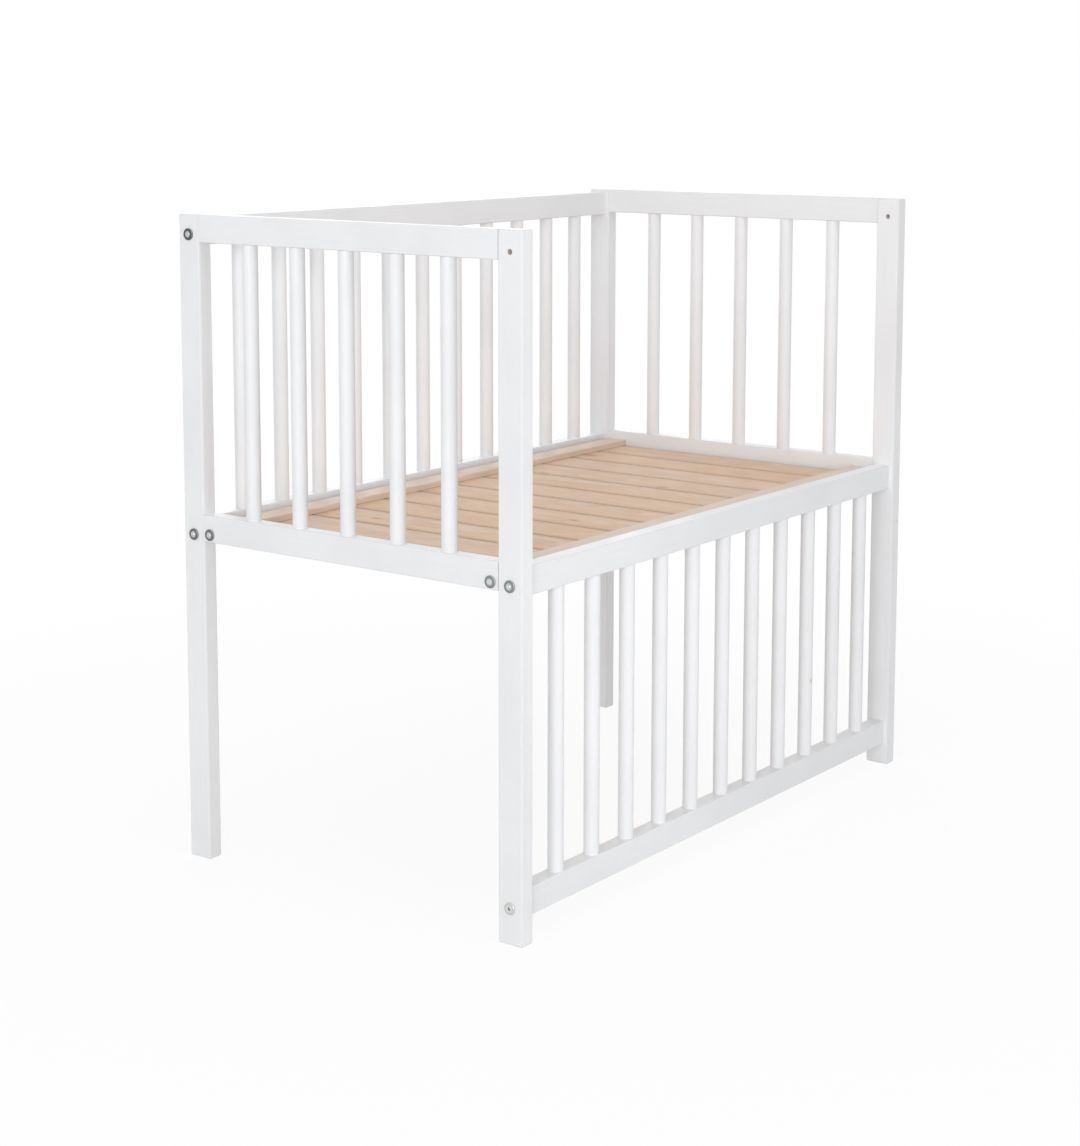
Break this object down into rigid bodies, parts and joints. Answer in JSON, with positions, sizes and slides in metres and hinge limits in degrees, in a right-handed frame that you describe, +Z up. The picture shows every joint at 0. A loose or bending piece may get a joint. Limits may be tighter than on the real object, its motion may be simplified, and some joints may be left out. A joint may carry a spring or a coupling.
{
  "type": "bedside sleeper crib",
  "caption": "White wooden bedside crib: tall end frames and a high back panel of round spindles, the same panel set low at the open front, and a natural wood slatted base.",
  "frame": {"origin": "on the floor, at the centre of the crib's footprint", "axes": "+Z up; +X along the crib's length; +Y across it, from the open front towards the back panel"},
  "size_m": [0.9488, 0.558, 0.86],
  "materials": {
    "white_post": "satin white lacquer",
    "white_end_rail": "satin white lacquer",
    "white_panel_rail": "satin white lacquer",
    "white_spindle": "satin white lacquer",
    "bar_wood": "sanded natural wood",
    "slat_wood": "sanded natural wood",
    "zinc_steel": "bright zinc plating",
    "nut_steel": "bright zinc plating"
  },
  "bodies": {
    "root": {"front_left_post": "white_post", "front_right_post": "white_post", "rear_left_post": "white_post", "rear_right_post": "white_post", "left_end_top_rail": "white_end_rail", "left_end_lower_rail": "white_end_rail", "left_end_spindle_01": "white_spindle", "left_end_spindle_02": "white_spindle", "left_end_spindle_03": "white_spindle", "left_end_spindle_04": "white_spindle", "left_end_spindle_05": "white_spindle", "right_end_top_rail": "white_end_rail", "right_end_lower_rail": "white_end_rail", "right_end_spindle_01": "white_spindle", "right_end_spindle_02": "white_spindle", "right_end_spindle_03": "white_spindle", "right_end_spindle_04": "white_spindle", "right_end_spindle_05": "white_spindle", "front_panel_top_rail": "white_panel_rail", "front_panel_lower_rail": "white_panel_rail", "front_panel_spindle_01": "white_spindle", "front_panel_spindle_02": "white_spindle", "front_panel_spindle_03": "white_spindle", "front_panel_spindle_04": "white_spindle", "front_panel_spindle_05": "white_spindle", "front_panel_spindle_06": "white_spindle", "front_panel_spindle_07": "white_spindle", "front_panel_spindle_08": "white_spindle", "front_panel_spindle_09": "white_spindle", "front_panel_spindle_10": "white_spindle", "front_panel_spindle_11": "white_spindle", "back_panel_top_rail": "white_panel_rail", "back_panel_lower_rail": "white_panel_rail", "back_panel_spindle_01": "white_spindle", "back_panel_spindle_02": "white_spindle", "back_panel_spindle_03": "white_spindle", "back_panel_spindle_04": "white_spindle", "back_panel_spindle_05": "white_spindle", "back_panel_spindle_06": "white_spindle", "back_panel_spindle_07": "white_spindle", "back_panel_spindle_08": "white_spindle", "back_panel_spindle_09": "white_spindle", "back_panel_spindle_10": "white_spindle", "back_panel_spindle_11": "white_spindle", "base_front_bar": "bar_wood", "base_rear_bar": "bar_wood", "base_slat_01": "slat_wood", "base_slat_02": "slat_wood", "base_slat_03": "slat_wood", "base_slat_04": "slat_wood", "base_slat_05": "slat_wood", "base_slat_06": "slat_wood", "base_slat_07": "slat_wood", "base_slat_08": "slat_wood", "base_slat_09": "slat_wood", "base_slat_10": "slat_wood", "base_slat_11": "slat_wood", "base_slat_12": "slat_wood", "connector_bolts": "zinc_steel", "barrel_nuts": "nut_steel"}
  },
  "joints": []
}
